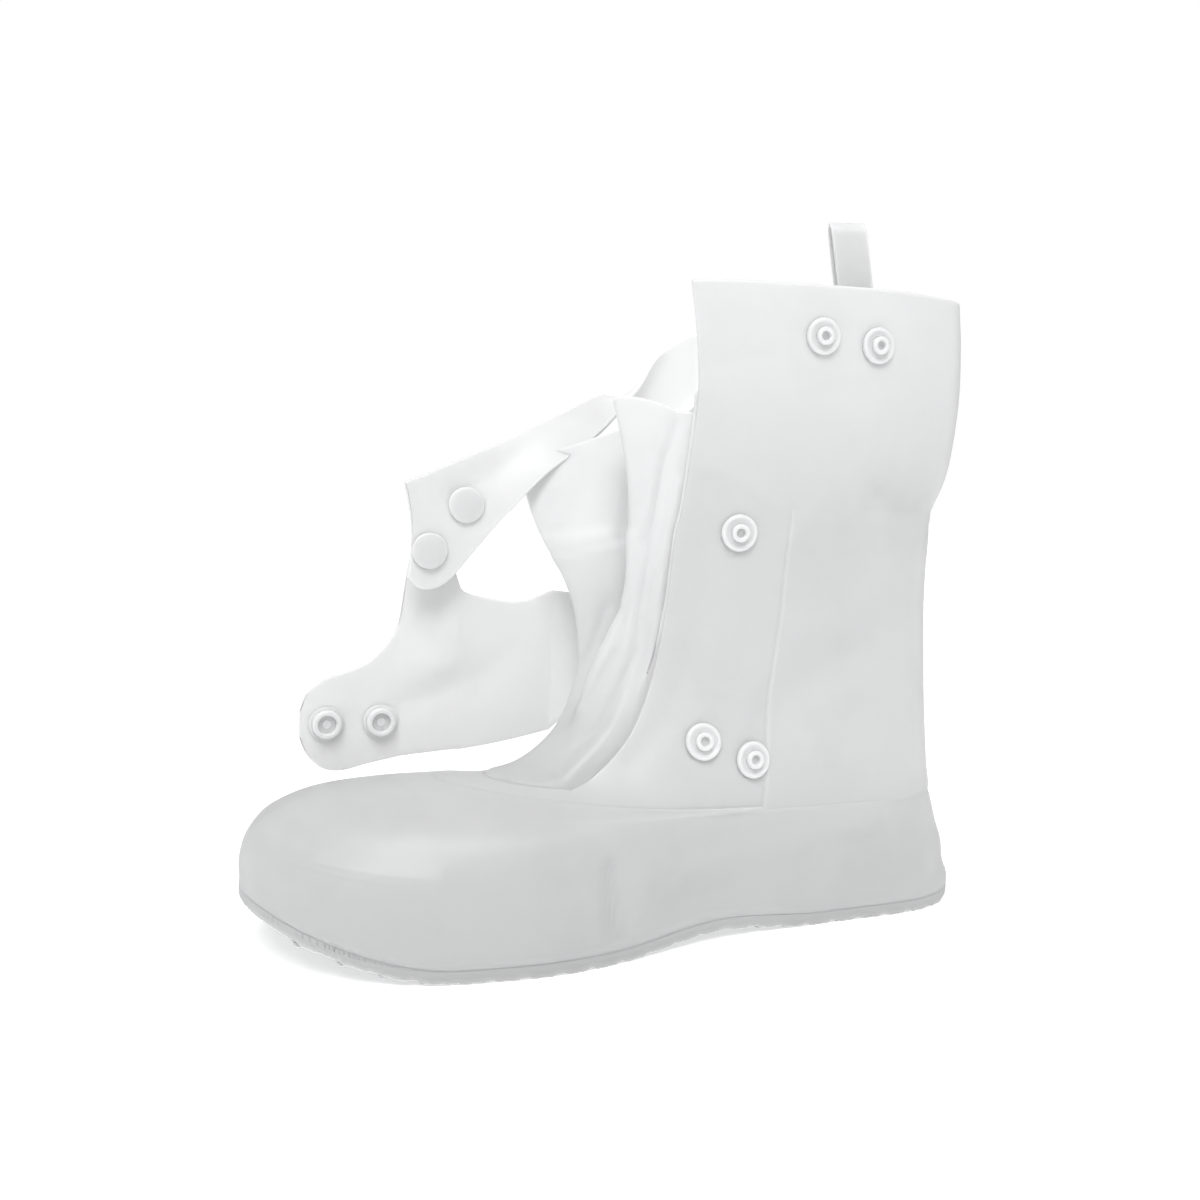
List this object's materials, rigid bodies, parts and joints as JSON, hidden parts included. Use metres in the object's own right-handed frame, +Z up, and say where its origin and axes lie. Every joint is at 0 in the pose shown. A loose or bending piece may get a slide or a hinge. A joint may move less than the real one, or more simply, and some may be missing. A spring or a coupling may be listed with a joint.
{
  "type": "silicone overshoe",
  "caption": "Left ankle-high silicone overshoe with folded gusset, snap closure flap and strap, pull loop and lugged sole.",
  "frame": {"origin": "on the floor under the flat of the heel, 40 mm ahead of the upper's heel curve", "axes": "+X towards the toe, +Y towards the shoe's lateral side (the wearer's left), +Z up"},
  "size_m": [0.2945, 0.1081, 0.2872],
  "materials": {
    "silicone": "milky translucent, satin",
    "tread_silicone": "matte",
    "snap_resin": "satin"
  },
  "bodies": {
    "root": {"upper": "silicone", "outsole": "tread_silicone", "gusset": "silicone", "closure_flap": "silicone", "pull_loop": "silicone", "snap_stud_1": "snap_resin", "snap_stud_2": "snap_resin", "snap_stud_3": "snap_resin", "snap_stud_4": "snap_resin", "snap_stud_5": "snap_resin", "snap_socket_1": "snap_resin", "snap_socket_2": "snap_resin", "snap_socket_3": "snap_resin", "snap_socket_4": "snap_resin", "snap_socket_5": "snap_resin"}
  },
  "joints": []
}
